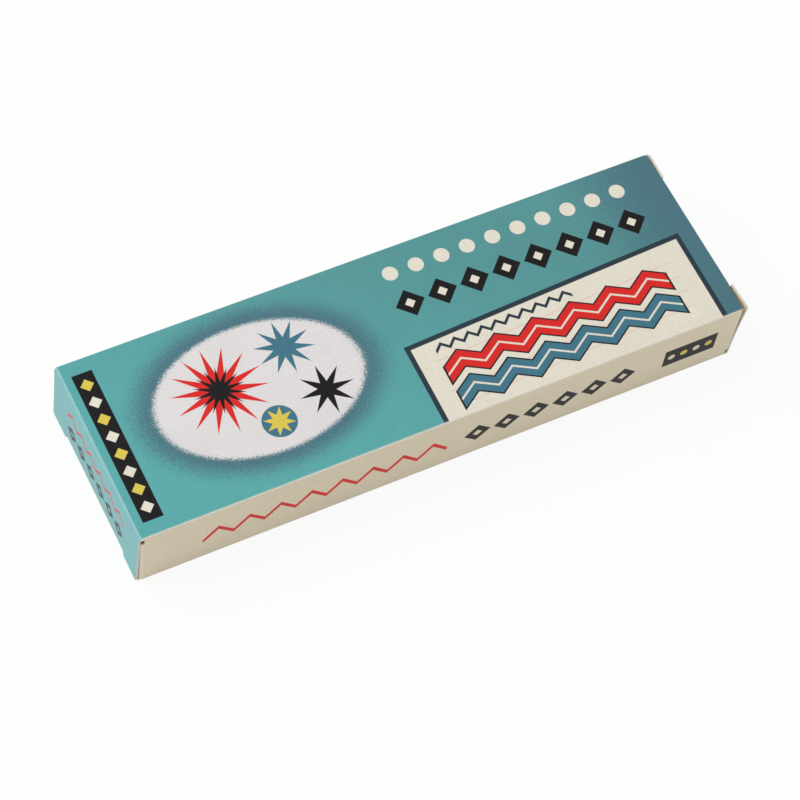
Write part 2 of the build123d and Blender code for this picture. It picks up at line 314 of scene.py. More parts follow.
# Corner cut-backs on the two free edges: the top's at the right end, the bottom's at the left.
for panel, end in ((is_top, 1), (is_bottom, -1)):
    cut_at("x", [end * (free_edge - cut_back)], panel)
    for side in (-1, 1):
        cut_at("y", [side * cut_line, side * (cut_line + cut_ramp)], panel)
        trim(
            (end * free_edge, side * cut_line, 0), (end * cut_ramp, side * cut_back, 0),
            lambda c: panel(c) and side * c.y > cut_line and end * c.x > free_edge - cut_back,
        )

# Even cuts across the panels let them bow a little, as filled cartons do. The top's free edge is a trifle
# askew, and the front's upper right corner has sprung out.
cut_at("x", long_cuts)
cut_at("y", cross_cuts)
cut_at("z", height_cuts)
sheet = bmesh.from_edit_mesh(sleeve.data)
for v in sheet.verts:
    along = max(0, 1 - (v.co.x / right_end) ** 2)
    across = max(0, 1 - (v.co.y / (rear_face - crease_radius)) ** 2)
    upward = max(0, 1 - ((v.co.z - top_face / 2) / (top_face / 2 - crease_radius)) ** 2)
    if is_top(v.co) and v.co.x > side_end + tiny:
        v.co.x -= edge_skew * v.co.y
    elif not is_top(v.co) and v.co.y < -rear_face + crease_radius and v.co.x > side_end - tiny:
        v.co.x += corner_spring * (v.co.z / top_face) ** spring_curve
    if is_top(v.co):
        v.co.z += top_bow * along * across
    elif is_side(v.co):
        v.co.y += math.copysign(side_bow * along * upward, v.co.y)
bmesh.update_edit_mesh(sleeve.data)
bpy.ops.object.mode_set(mode="OBJECT")


def rise(value, low, high):
    """Goes smoothly from 0 to 1 while the value goes from low to high."""
    values = {"Value": value, "From Min": low, "From Max": high}
    return add_node("MapRange", values, interpolation_type="SMOOTHSTEP").outputs["Result"]


def apart(point):
    """The three numbers of a point."""
    return tuple(add_node("SeparateXYZ", {0: point}).outputs)


def together(x, y, z=0.0):
    """A point from three numbers."""
    return add_node("CombineXYZ", {0: x, 1: y, 2: z}).outputs[0]


def between(operation, a, b=(0, 0, 0)):
    """A point from two points, or the length of one."""
    node = add_node("VectorMath", {0: a, 1: b}, operation=operation)
    return node.outputs["Value" if operation == "LENGTH" else "Vector"]


def within(value, half):
    """How far inside a half length on either side of zero a value lies."""
    return calc("SUBTRACT", half, calc("ABSOLUTE", value))


def speckle(point, scale, detail=2.0, roughness=0.5):
    """Even noise from 0 to 1, with the scale in grains per millimetre."""
    values = {"Vector": point, "Scale": scale, "Detail": detail, "Roughness": roughness}
    return add_node("TexNoise", values).outputs["Fac"]


def new_group(name, inputs, outputs):
    """An empty shader group with named sockets. Points are vectors and the rest are numbers."""
    group = bpy.data.node_groups.new(name, "ShaderNodeTree")
    for label in inputs:
        kind = "NodeSocketVector" if label in ("Point", "Centre") else "NodeSocketFloat"
        group.interface.new_socket(label, in_out="INPUT", socket_type=kind)
    for label in outputs:
        group.interface.new_socket(label, in_out="OUTPUT", socket_type="NodeSocketFloat")
    return group.nodes.new("NodeGroupInput").outputs, group.nodes.new("NodeGroupOutput").inputs


def use_group(name, **values):
    """Places a group in a material with its own values."""
    values = {label.title(): value for label, value in values.items()}
    return add_node("Group", values, node_tree=bpy.data.node_groups[name]).outputs


# Paper board: fine fibre lumps for the bump, a faint cloudiness and press grain for the tone.
start, end = new_group("paper_grain", ["Point"], ["Tone", "Height"])
fine = calc("MULTIPLY", speckle(start["Point"], 2.6, detail=1.0), 0.75)
cloudy = calc("MULTIPLY", speckle(start["Point"], 0.12), 0.25)
feed(end["Tone"], calc("ADD", fine, cloudy))
feed(end["Height"], speckle(start["Point"], 1.4, detail=3.0, roughness=0.6))

# Creases pale along a thin line: partly wear where the board is stretched, partly a painted highlight on the
# crease's rounded edge, a little more in some places than in others.
start, end = new_group("fold_wear", ["Point", "Distance", "Reach"], ["Mask"])
near = rise(start["Distance"], start["Reach"], 0.0)
broken = rise(speckle(start["Point"], 0.35, detail=4.0), 0.3, 0.62)
steady = calc("ADD", 0.65, calc("MULTIPLY", broken, 0.35))
feed(end["Mask"], calc("MULTIPLY", near, steady))

# Sprayed ink: the amount decides how many of the fine grains are inked.
start, end = new_group("spray", ["Point", "Amount"], ["Mask"])
grain = speckle(start["Point"], 2.6, roughness=0.6)
level_of_ink = calc("SUBTRACT", calc("ADD", start["Amount"], grain), 1.0)
feed(end["Mask"], rise(level_of_ink, -0.3, 0.3))

# Printed shapes: an oval, a slanted block, a zigzag, a row of diamonds or dots, and a burst of pointed rays.
print_edge = 0.07


def new_shape(name, *own_inputs):
    """A shader group for a printed shape, with the place as seen from the shape's centre."""
    start, end = new_group(name, ["Point", "Centre", *own_inputs], ["Mask"])
    x, y, z = apart(between("SUBTRACT", start["Point"], start["Centre"]))
    return start, end["Mask"], x, y


def crisp(inside):
    """The sharp edge of a printed shape."""
    return rise(inside, -print_edge, print_edge)


start, mask, x, y = new_shape("oval_print", "Radius", "Stretch", "Edge")
reach = between("LENGTH", together(calc("DIVIDE", x, start["Stretch"]), y))
inside = calc("SUBTRACT", start["Radius"], reach)
feed(mask, rise(inside, calc("MULTIPLY", start["Edge"], -1.0), start["Edge"]))

start, mask, x, y = new_shape("block_print", "Length", "Width", "Slope")
level_y = calc("SUBTRACT", y, calc("MULTIPLY", x, start["Slope"]))
inside = calc("MINIMUM", within(x, start["Length"]), within(level_y, start["Width"]))
feed(mask, crisp(inside))

start, mask, x, y = new_shape("zigzag_print", "Length", "Width", "Swing", "Pitch", "Slope")
half_pitch = calc("MULTIPLY", start["Pitch"], 0.5)
to_and_fro = calc("DIVIDE", calc("PINGPONG", x, half_pitch), half_pitch)
swing = calc("MULTIPLY", start["Swing"], calc("SUBTRACT", to_and_fro, 0.5))
line = calc("ADD", swing, calc("MULTIPLY", x, start["Slope"]))
beside = within(calc("SUBTRACT", y, line), start["Width"])
feed(mask, crisp(calc("MINIMUM", within(x, start["Length"]), beside)))

start, mask, x, y = new_shape("row_print", "Length", "Pitch", "Size", "Round")
cell = calc("FRACT", calc("DIVIDE", x, start["Pitch"]))
off_x = calc("ABSOLUTE", calc("MULTIPLY", start["Pitch"], calc("SUBTRACT", cell, 0.5)))
off_y = calc("ABSOLUTE", y)
dot = calc("MULTIPLY", between("LENGTH", together(off_x, off_y)), start["Round"])
squareness = calc("SUBTRACT", 1.0, start["Round"])
diamond = calc("MULTIPLY", calc("ADD", off_x, off_y), squareness)
inside = calc("SUBTRACT", start["Size"], calc("ADD", dot, diamond))
kept = calc("LESS_THAN", calc("ABSOLUTE", x), start["Length"])
feed(mask, calc("MULTIPLY", kept, crisp(inside)))

start, mask, x, y = new_shape("burst_print", "Count", "Outer", "Width", "Turn")
reach = between("LENGTH", together(x, y))
turn_share = calc("DIVIDE", calc("ARCTAN2", y, x), math.tau)
cell = calc("ADD", calc("MULTIPLY", turn_share, start["Count"]), start["Turn"])
cell = calc("ABSOLUTE", calc("SUBTRACT", calc("FRACT", cell), 0.5))
side_gap = calc("DIVIDE", calc("MULTIPLY", cell, math.tau), start["Count"])
taper = calc("SUBTRACT", 1.0, calc("DIVIDE", reach, start["Outer"]))
ray_width = calc("MULTIPLY", start["Width"], taper)
inside = calc("SUBTRACT", ray_width, calc("MULTIPLY", side_gap, reach))
feed(mask, crisp(inside))


def ink(red, green, blue):
    """A colour as seen on screen, each share from 0 to 255."""
    shares = [c / 255 for c in (red, green, blue)]
    return tuple(c / 12.92 if c < 0.04045 else ((c + 0.055) / 1.055) ** 2.4 for c in shares) + (1,)


teal = ink(94, 172, 171)
dim_teal = ink(89, 150, 150)
deep_teal = ink(78, 117, 128)
cream = ink(232, 225, 208)
# The sides' cream: the top's cream painted warmer and yellower, a painted tint of the warm light where the
# sides lie in shade.
shade_warmed_cream = ink(232, 219, 191)
mist = ink(226, 222, 220)
slate = ink(44, 58, 66)
black = ink(22, 20, 21)
red = ink(220, 44, 40)
blue = ink(68, 118, 136)
yellow = ink(222, 200, 82)
pink = ink(236, 186, 182)
# Bare paper: the pale of worn creases, also used as a painted highlight along them.
bare_paper_and_highlight = ink(240, 236, 228)


def overprint(under, colour, mask, blend="MIX"):
    """Lays one ink over what is printed already, where the mask says."""
    values = {"Factor": mask, 6: under, 7: colour}
    return add_node("Mix", values, data_type="RGBA", blend_type=blend).outputs[2]


def sprayed(under, colour, point, amount):
    """Sprays one ink over what is printed already."""
    return overprint(under, colour, use_group("spray", point=point, amount=amount)["Mask"])


def shape_mask(flat, shape, centre, *own_values):
    """Where a shape is printed: round its centre, with its own values in the order of its inputs."""
    values = {"Point": flat, "Centre": (*centre, 0.0), **dict(enumerate(own_values, 2))}
    return add_node("Group", values, node_tree=bpy.data.node_groups[shape]).outputs["Mask"]


def lay(under, flat, shape, *prints):
    """Prints a shape over what is printed already, once for each ink, centre and set of its own values."""
    for colour, *values in prints:
        under = overprint(under, colour, shape_mask(flat, shape, *values))
    return under


def face_point(skin, across="x", up="y"):
    """The place in millimetres, the same flat on a panel by two axes, and its three shares by name."""
    source = add_node("TexCoord", {}, skin.id_data).outputs["Object"]
    point = add_node("VectorMath", {0: source, "Scale": 1 / mm}, operation="SCALE").outputs[0]
    at = dict(zip("xyz", apart(point)))
    return point, together(at[across], at[up]), at


def add_relief(skin, height, strength, depth):
    """Makes a surface look uneven by a bump."""
    bump = add_node("Bump", {"Strength": strength, "Distance": depth, "Height": height})
    feed(skin.inputs["Normal"], bump.outputs["Normal"])


def paper_finish(skin, point, colour, gloss, wear_and_highlight_distance=None, wear_and_highlight_reach=0.9, wear_and_highlight_share=0.42):
    """Satin-printed board: press grain in the colour, creases paled by wear and a painted highlight, and a
    faint fibre bump.
    """
    feed(skin.inputs["Specular IOR Level"], gloss)
    grain = use_group("paper_grain", point=point)
    shades = {"Value": grain["Tone"], "From Min": 0.25, "From Max": 0.75, "To Min": 0.9, "To Max": 1.08}
    shade = add_node("MapRange", shades).outputs[0]
    printed = overprint(colour, together(shade, shade, shade), 1.0, blend="MULTIPLY")
    if wear_and_highlight_distance is not None:
        # Pale paper along the creases: partly wear, partly a painted highlight on the crease's rounded edge.
        rub_and_highlight = use_group("fold_wear", point=point, distance=wear_and_highlight_distance, reach=wear_and_highlight_reach)
        printed = overprint(printed, bare_paper_and_highlight, calc("MULTIPLY", rub_and_highlight["Mask"], wear_and_highlight_share))
    feed(skin.inputs["Base Color"], printed)
    feed(skin.inputs["Roughness"], calc("ADD", 0.38, calc("MULTIPLY", grain["Tone"], 0.14)))
    add_relief(skin, grain["Height"], 0.12, 0.06 * mm)


def teal_ground(point, at):
    """Teal that dims towards the rear and the right, and is sprayed dark at the right end."""
    slanted = calc("ADD", calc("MULTIPLY", at["x"], 0.6), at["y"])
    ground = overprint(teal, dim_teal, rise(slanted, -50.0, 40.0))
    dusk = calc("MULTIPLY", rise(at["x"], 34.0, 84.0), 0.8)
    return sprayed(ground, deep_teal, point, dusk)


# The top's own print: teal that is sprayed darker to the right, a pale oval with bursts of rays, a cream
# block with two zigzag ribbons, and black, cream and yellow trimmings. All print is in millimetres.
satin = 0.12
half_width = rear_face / mm
oval_centre = (-38.0, 1.0)
disc_centre = (-37.5, -9.0)
big_burst = (-47.0, 4.0)
block_centre = (37.0, -18.0)
block_half = (37.5, 16.0)
block_border = 1.3
block_slope = 0.045
band_along = -75.0
top_print, skin = new_material("top_print")
point, flat, at = face_point(skin)
colour = teal_ground(point, at)
halo = shape_mask(flat, "oval_print", oval_centre, 21.5, 1.45, 7.0)
colour = sprayed(colour, deep_teal, point, calc("MULTIPLY", halo, 0.95))
oval = shape_mask(flat, "oval_print", oval_centre, 17.5, 1.5, 1.6)
colour = sprayed(colour, mist, point, oval)
colour = lay(colour, flat, "oval_print", (blue, disc_centre, 4.3, 1.0, print_edge))
colour = lay(
    colour, flat, "burst_print",
    (red, big_burst, 14.0, 12.0, 1.5, 0.0),
    (black, big_burst, 14.0, 6.5, 0.9, 0.5),
    (blue, (-28.0, 9.0), 10.0, 7.5, 1.4, 0.0),
    (black, (-23.5, -5.5), 8.0, 7.0, 1.3, 0.5),
    (yellow, disc_centre, 8.0, 3.9, 1.3, 0.0),
)
colour = lay(
    colour, flat, "block_print",
    (slate, block_centre, *(half + block_border for half in block_half), block_slope),
    (cream, block_centre, *block_half, block_slope),
    *((pink, (37.0, -7.4 - 4.3 * rule), 33.0, 0.09, block_slope) for rule in range(4)),
)
colour = lay(colour, flat, "zigzag_print", (slate, (24.0, -4.9), 19.0, 0.5, 1.7, 3.8, block_slope))
for ribbon_ink, ribbon_y in ((red, -10.6), (blue, -17.8)):
    layers = ((black, 31.5, 2.75), (ribbon_ink, 31.0, 2.3), (cream, 31.0, 0.3))
    for layer_ink, half, width in layers:
        ribbon = (layer_ink, (36.0, ribbon_y), half, width, 3.2, 10.5, block_slope)
        colour = lay(colour, flat, "zigzag_print", ribbon)
colour = lay(
    colour, flat, "row_print",
    (cream, (36.0, 17.8), 35.0, 7.0, 2.0, 1.0),
    (black, (36.0, 8.4), 35.0, 8.75, 3.9, 0.0),
    (cream, (36.0, 8.4), 35.0, 8.75, 1.4, 0.0),
)
colour = lay(colour, flat, "block_print", (black, (band_along, 0.0), 2.6, 21.0, 0.0))
colour = lay(
    colour, together(at["y"], at["x"]), "row_print",
    (cream, (0.0, band_along), 20.0, 5.0, 1.7, 0.0),
    (yellow, (2.5, band_along), 20.0, 10.0, 1.7, 0.0),
)
paper_finish(skin, point, colour, satin, calc("ADD", at["y"], half_width))

# The front's and the rear's print: cream painted warmer than the top's, a painted tint of the warm light in
# the sides' shade, with a red zigzag, a row of dark diamonds and a patch of dots.
mid_height = top_face / mm / 2
front_print, skin = new_material("front_print")
point, flat, at = face_point(skin, "x", "z")
colour = lay(shade_warmed_cream, flat, "zigzag_print", (red, (-32.0, mid_height), 32.0, 0.8, 4.4, 8.0, 0.0))
colour = lay(colour, flat, "block_print", (black, (67.0, mid_height), 7.4, 3.6, 0.0))
colour = lay(
    colour, flat, "row_print",
    (black, (28.0, mid_height), 24.0, 8.0, 3.6, 0.0),
    (shade_warmed_cream, (28.0, mid_height), 24.0, 8.0, 1.3, 0.0),
    (shade_warmed_cream, (67.0, mid_height), 7.0, 3.5, 1.0, 1.0),
    (yellow, (68.75, mid_height), 7.0, 7.0, 1.0, 1.0),
)
height = calc("SUBTRACT", at["z"], mid_height)
past_end = calc("ABSOLUTE", within(at["x"], side_end / mm))
nearest_crease = calc("MINIMUM", within(height, mid_height), past_end)
paper_finish(skin, point, colour, satin, nearest_crease, 0.6)

# Bottom: the same teal with no picture. Inside: the uncoated buff back of the board. Cut edges: its white
# liner and pale middle, told apart by how deep in the board they lie.
bottom_print, skin = new_material("bottom_print")
point, flat, at = face_point(skin)
colour = teal_ground(point, at)
paper_finish(skin, point, colour, satin, within(at["y"], half_width))


def plain_board(name, light, dark, gloss, liner=None):
    """Unprinted board, mottled by its fibres. On a cut edge the liner's colour shows on the printed side."""
    material, skin = new_material(name)
    point = face_point(skin)[0]
    colour = overprint(light, dark, use_group("paper_grain", point=point)["Tone"])
    if liner:
        depth = add_node("Attribute", {}, skin.id_data, attribute_name="ply_depth").outputs["Fac"]
        colour = overprint(colour, liner, rise(depth, 0.5, 0.3))
    paper_finish(skin, point, colour, gloss)
    return material


inside_board = plain_board("inside_board", ink(234, 216, 180), ink(214, 193, 151), 0.25)
board_core = plain_board("board_core", ink(222, 216, 207), ink(208, 199, 185), 0.15, ink(222, 217, 207))


def only(piece):
    """Selects one piece and nothing else."""
    bpy.ops.object.select_all(action="DESELECT")
    piece.select_set(True)
    bpy.context.view_layer.objects.active = piece


def thicken(piece, prints, pick):
    """Gives a sheet its board thickness: print outside, plain board inside, both plies on cut edges."""
    only(piece)
    for material in [*prints, inside_board, board_core]:
        piece.data.materials.append(material)
    piece.vertex_groups.new(name="inner")
    wall = piece.modifiers.new("board", "SOLIDIFY")
    wall.thickness = board
    wall.offset = -1
    wall.use_even_offset = True
    wall.shell_vertex_group = "inner"
    bpy.ops.object.modifier_apply(modifier=wall.name)
    mesh = piece.data
    inner = piece.vertex_groups["inner"].index
    is_inner = [any(g.group == inner and g.weight > 0.5 for g in v.groups) for v in mesh.vertices]
    ply_depth = mesh.attributes.new("ply_depth", "FLOAT", "POINT")
    ply_depth.data.foreach_set("value", [float(inside) for inside in is_inner])
    for face in mesh.polygons:
        count = sum(is_inner[i] for i in face.vertices)
        if count == 0:
            face.material_index = pick(face.center, face.normal)
        elif count == len(face.vertices):
            face.material_index = len(prints)
        else:
            face.material_index = len(prints) + 1
    piece.vertex_groups.clear()
    bpy.ops.object.shade_smooth_by_angle(angle=math.radians(40))


front_turn = 0.95
rear_turn = 0.2


def sleeve_print(middle, normal):
    """Index of the print on an outer face of the sleeve, set back a little: front creases are cream."""
    if abs(normal.z) > (front_turn if middle.y < 0 else rear_turn):
        return 0 if normal.z > 0 else 2
    return 1


thicken(sleeve, [top_print, front_print, bottom_print], sleeve_print)
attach(sleeve, "carton")
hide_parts("top_panel", "bottom_panel", "front_side_panel", "rear_side_panel", "glue_flap")

# The closures: the end panels that hinge on the sheet, the right one on the bottom's crease and the left one
# on the top's. Same board, with the crease bent round a small radius. The tucked edge is slit at both
# corners, so that two ears stand up unfolded there and spring out, most at the right end's front corner.
closure_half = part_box("right_end_flap")[1].y
fold_top = top_face - board - 0.05 * mm
fold_radius = 0.8 * mm
fold_half = cut_line - 1.2 * mm
fold_spring = 0.08 * mm
loose_start = 12 * mm
ear_share = 0.3
ear_top = top_face
ear_round = 0.8 * mm
ear_slope = 0.4 * mm
panel_low = closure_radius
panel_high = fold_top - fold_radius
panel_cuts = [panel_low + (panel_high - panel_low) * step / 6 for step in range(1, 6)]
# The ends' teal: the top's teal painted lighter, a painted sheen and painted light where the lamp at the left
# falls on the left end.
sheen_painted_teal = ink(110, 180, 181)


def ramp(value, low, high):
    """Goes evenly from 0 to 1 while the value goes from low to high."""
    return max(0, min(1, (value - low) / (high - low)))


def spring_out(piece, front, rear):
    """Springs a sheet of the right end open: a little at its tucked fold and more at its loose corners."""
    for v in piece.data.vertices:
        side = abs(v.co.y)
        loose = (1 - ear_share) * ramp(side, loose_start, cut_line)
        loose += ear_share * ramp(side, cut_line, closure_half)
        if side < fold_half + tiny and v.co.z > panel_high - tiny:
            loose = 0
        corner = front if v.co.y < 0 else rear
        height = max(0, v.co.z / fold_top) ** spring_curve
        v.co.x += height * (fold_spring + (corner - fold_spring) * loose)


def face_out(piece, outward):
    """Merges a sheet's doubles, points its faces outwards and closes it for edits."""
    bpy.ops.mesh.select_all(action="SELECT")
    bpy.ops.mesh.remove_doubles(threshold=tiny)
    bpy.ops.mesh.normals_make_consistent(inside=False)
    sheet = bmesh.from_edit_mesh(piece.data)
    widest = max(sheet.faces, key=lambda f: f.calc_area())
    if widest.normal.dot(Vector(outward)) < 0:
        bpy.ops.mesh.flip_normals()
    bpy.ops.object.mode_set(mode="OBJECT")


def copy_of(piece, name):
    """A copy of a piece, with its own mesh."""
    only(piece)
    bpy.ops.object.duplicate(linked=False)
    copy = bpy.context.object
    copy.name = name
    copy.data.name = name
    return copy


def move_whole(piece, operator, **settings):
    """Moves the whole of a piece in its mesh."""
    only(piece)
    bpy.ops.object.mode_set(mode="EDIT")
    bpy.ops.mesh.select_all(action="SELECT")
    operator(**settings)
    bpy.ops.object.mode_set(mode="OBJECT")


def turn_to_left(piece):
    """Carries a piece from the right end to the left, half way round Y through the carton's middle."""
    centre = (0, 0, top_face / 2)
    move_whole(piece, bpy.ops.transform.rotate, value=math.pi, orient_axis="Y", center_override=centre)


def hinge(piece, body, crease, node):
    """Bakes a sheet's place into its mesh and hides the part that it replaces. The crease's two ends, turned
    round for the left end, are worked out but not used.
    """
    start, end = (Vector(place) for place in crease)
    if body.startswith("left"):
        start, end = (Vector((-place.x, place.y, top_face - place.z)) for place in (start, end))
    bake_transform(piece)
    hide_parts(node)


# The ends' print: the lighter teal, painted sheen and light, with a red zigzag and a row of dark diamonds.
end_print, skin = new_material("end_print")
point, flat, at = face_point(skin, "y", "z")
colour = lay(sheen_painted_teal, flat, "zigzag_print", (red, (0.0, mid_height + 3.4), 16.5, 0.6, 2.8, 5.5, 0.0))
colour = lay(
    colour, flat, "row_print",
    (black, (0.0, mid_height - 3.4), 16.5, 5.5, 2.6, 0.0),
    (sheen_painted_teal, (0.0, mid_height - 3.4), 16.5, 5.5, 0.9, 0.0),
)
height = calc("SUBTRACT", at["z"], mid_height)
paper_finish(skin, point, colour, 0.5, within(height, mid_height), 1.1, 0.1)

right_closure = add_start(
    "plane", "right_closure_panel", size=1, location=(closure_face, 0, (panel_low + panel_high) / 2),
    rotation=(0, math.pi / 2, 0), scale=(panel_high - panel_low, 2 * closure_half, 1),
)
cut_at("y", [*cross_cuts, -fold_half, -cut_line, fold_half, cut_line])
cut_at("z", panel_cuts)
choose("edges", lambda c: c.z > panel_high - tiny and abs(c.y) > cut_line)
pull_edges(0, 0, ear_top - panel_high)
choose("verts", lambda c: c.z > ear_top - tiny and abs(c.y) > closure_half - tiny)
bpy.ops.mesh.bevel(offset=ear_round, segments=5, affect="VERTICES")
choose("edges", lambda c: c.z < panel_low + tiny)
crease_centre = (closure_face - closure_radius, 0, closure_radius)
bpy.ops.mesh.spin(steps=crease_steps, angle=-math.pi / 2, center=crease_centre, axis=(0, 1, 0))
face_out(right_closure, (1, 0, 0))
left_closure = copy_of(right_closure, "left_closure_panel")
for closure, front, rear in ((right_closure, 1.3 * mm, 0.4 * mm), (left_closure, 0.35 * mm, 0.3 * mm)):
    spring_out(closure, front, rear)
    thicken(closure, [end_print], lambda middle, normal: 0)
    # The knife leaves the ears' cut edge sloping to the inside.
    depth = closure.data.attributes["ply_depth"].data
    for v in closure.data.vertices:
        v.co.z -= ear_slope * depth[v.index].value * ramp(v.co.z, ear_top - ear_round, ear_top)
turn_to_left(left_closure)
crease = ((closure_face - closure_radius, 0, 0), (closure_face, 0, closure_radius))
hinge(right_closure, "right_closure", crease, "right_end_flap")
hinge(left_closure, "left_closure", crease, "left_end_flap")

# The tuck tongues: the last fold of each closure, a strip with rounded corners that slips inside the sleeve
# and holds the end shut by friction. White-lined board that droops from its fold, printed only up to it.
tongue_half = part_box("right_tuck_tongue")[1].y
tongue_length = 8.0 * mm
tongue_corner = 4.5 * mm
tongue_droop = math.radians(22)
right_tongue = add_start(
    "plane", "right_tongue_strip", size=1,
    location=(closure_face - (tongue_length + fold_radius) / 2, 0, fold_top),
    scale=(tongue_length - fold_radius, 2 * tongue_half, 1),
)
choose("verts", lambda c: c.x < closure_face - tongue_length + tiny)
bpy.ops.mesh.bevel(offset=tongue_corner, segments=8, affect="VERTICES")
cut_at("y", [*cross_cuts, -fold_half, fold_half])
bpy.ops.mesh.select_all(action="SELECT")
fold_centre = (closure_face - fold_radius, 0, fold_top - fold_radius)
bpy.ops.transform.rotate(value=tongue_droop, orient_axis="Y", center_override=fold_centre)
rim = Vector(fold_centre) + Matrix.Rotation(-tongue_droop, 3, "Y") @ Vector((0, 0, fold_radius))
choose("edges", lambda c: abs(c.x - rim.x) < tiny and abs(c.z - rim.z) < tiny and abs(c.y) < fold_half)
bpy.ops.mesh.spin(steps=8, angle=-math.pi / 2 - tongue_droop, center=fold_centre, axis=(0, 1, 0))
face_out(right_tongue, (0, 0, 1))
spring_out(right_tongue, fold_spring, fold_spring)
white_board = plain_board("white_board", ink(244, 241, 234), ink(228, 222, 212), 0.3)
thicken(right_tongue, [white_board, end_print], lambda middle, normal: 1 if normal.x > 0.1 else 0)
left_tongue = copy_of(right_tongue, "left_tongue_strip")
turn_to_left(left_tongue)
crease = ((closure_face, 0, fold_top - fold_radius), (rim.x, 0, rim.z))
hinge(right_tongue, "right_tongue", crease, "right_tuck_tongue")
hinge(left_tongue, "left_tongue", crease, "left_tuck_tongue")

# The dust flaps: short flaps creased to the two sides, folded in behind each closure. Tapered on one edge so
# that they clear the closure's crease, with rounded tips.
flap_low, flap_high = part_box("right_rear_dust_flap")
flap_taper = 3.5 * mm
flap_corner = 2.0 * mm
flap_step = 0.8 * mm
bend_step = 1.1 * mm
bend_start = tongue_half + 0.1 * mm
flap_root = rear_face - dust_radius
right_rear_flap = add_start(
    "plane", "right_rear_dust_sheet", size=1, rotation=(0, math.pi / 2, 0),
    location=(dust_face, (flap_low.y + flap_root) / 2, (hole_far + flap_high.z) / 2),
    scale=(flap_high.z - hole_far, flap_root - flap_low.y, 1),
)
choose("verts", lambda c: c.y < flap_low.y + tiny and c.z < hole_far + tiny)
bpy.ops.transform.translate(value=(0, 0, flap_taper))
choose("verts", lambda c: c.y < flap_low.y + tiny)
bpy.ops.mesh.bevel(offset=flap_corner, segments=6, affect="VERTICES")
# A step beside the crease stands up into the closure's slit, and the crease itself runs on past the tongue's
# side almost as far as the sleeve's free panel.
flap_top = flap_high.z
for step_start, step in ((cut_line, flap_step), (bend_start, bend_step)):
    cut_at("y", [step_start])
    choose("edges", lambda c: c.z > flap_top - tiny and c.y > step_start)
    pull_edges(0, 0, step)
    flap_top += step
choose("edges", lambda c: c.y > flap_root - tiny)
bpy.ops.mesh.spin(steps=crease_steps, angle=-math.pi / 2, center=(side_end, flap_root, 0), axis=(0, 0, 1))
face_out(right_rear_flap, (1, 0, 0))
thicken(right_rear_flap, [front_print], lambda middle, normal: 0)
right_front_flap = copy_of(right_rear_flap, "right_front_dust_sheet")
move_whole(right_front_flap, bpy.ops.transform.resize, value=(1, -1, 1), center_override=(0, 0, 0))
move_whole(right_front_flap, bpy.ops.mesh.flip_normals)
left_rear_flap = copy_of(right_rear_flap, "left_rear_dust_sheet")
turn_to_left(left_rear_flap)
left_front_flap = copy_of(right_front_flap, "left_front_dust_sheet")
turn_to_left(left_front_flap)
for v in right_front_flap.data.vertices:
    spring = corner_spring * (v.co.z / top_face) ** spring_curve
    v.co.x += spring * ramp(-v.co.y, loose_start, flap_root)
dust_flaps = {
    "right_rear_dust": right_rear_flap,
    "right_front_dust": right_front_flap,
    "left_rear_dust": left_rear_flap,
    "left_front_dust": left_front_flap,
}
for body, flap in dust_flaps.items():
    side = 1 if "rear" in body else -1
    crease = ((side_end, side * rear_face, top_face / 2), (dust_face, side * flap_root, top_face / 2))
    hinge(flap, body, crease, f"{body}_flap")

# The pens: the barrel is a thin moulded tube that tapers to a closed round tail, glossy, one red and one
# blue. It is open at the seam, where the nose section is pressed in. Pen profiles are in mm from the tip.
pen_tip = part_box("red_uv_led")[0].x
head_low, head_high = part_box("red_light_head")
pen_axis = Vector((pen_tip, (head_low.y + head_high.y) / 2, (head_low.z + head_high.z) / 2))
pen_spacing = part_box("red_barrel")[0].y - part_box("blue_barrel")[0].y
lathe_sides = 64
pole = 0.04
seam = 51.65
bore_end = 129.65
tail_length = 4.5


def dome(tip, length, radius, low, high, count):
    """Stations of a half-ellipse from its tip, between two angles in degrees, as (along, radius)."""
    angles = [math.radians(low + (high - low) * i / count) for i in range(count + 1)]
    return [(tip + length * (1 - math.cos(a)), max(radius * math.sin(a), pole)) for a in angles]


def close_up():
    """Points a closed piece's faces outwards and closes it for edits."""
    bpy.ops.mesh.select_all(action="SELECT")
    bpy.ops.mesh.normals_make_consistent(inside=False)
    bpy.ops.object.mode_set(mode="OBJECT")


def turn(name, stations):
    """Turns a profile round the pen's axis: a ring is extruded from station to station and joined up."""
    along, radius = stations[0]
    start = pen_axis + Vector((along * mm, 0, 0))
    piece = add_start(
        "circle", name, vertices=lathe_sides, radius=radius * mm, location=start, rotation=(0, math.pi / 2, 0)
    )
    for next_along, next_radius in stations[1:]:
        pull_edges((next_along - along) * mm, 0, 0)
        grow = next_radius / radius
        middle = pen_axis + Vector((next_along * mm, 0, 0))
        bpy.ops.transform.resize(value=(1, grow, grow), center_override=middle)
        along, radius = next_along, next_radius
    choose("edges", lambda c: False)
    bpy.ops.mesh.select_non_manifold()
    if stations[0][1] == pole and stations[-1][1] == pole:
        bpy.ops.mesh.fill_holes(sides=0)
    else:
        bpy.ops.mesh.bridge_edge_loops()
    close_up()
    return piece


def finish_pen_piece(piece, material, body, angle=35):
    """Smooths a piece of the red pen and dresses it, then copies it to the blue pen beside it."""
    node = piece.name
    only(piece)
    bpy.ops.object.shade_smooth_by_angle(angle=math.radians(angle))
    twin = copy_of(piece, node)
    move_whole(twin, bpy.ops.transform.translate, value=(0, -pen_spacing, 0))
    for colour, owner in (("red", piece), ("blue", twin)):
        owner.name = f"{colour}_{node}_skin"
        owner.data.name = owner.name
        owner.data.materials.clear()
        owner.data.materials.append(material[colour] if isinstance(material, dict) else material)
        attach(owner, f"{colour}_{body}")
        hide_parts(f"{colour}_{node}")


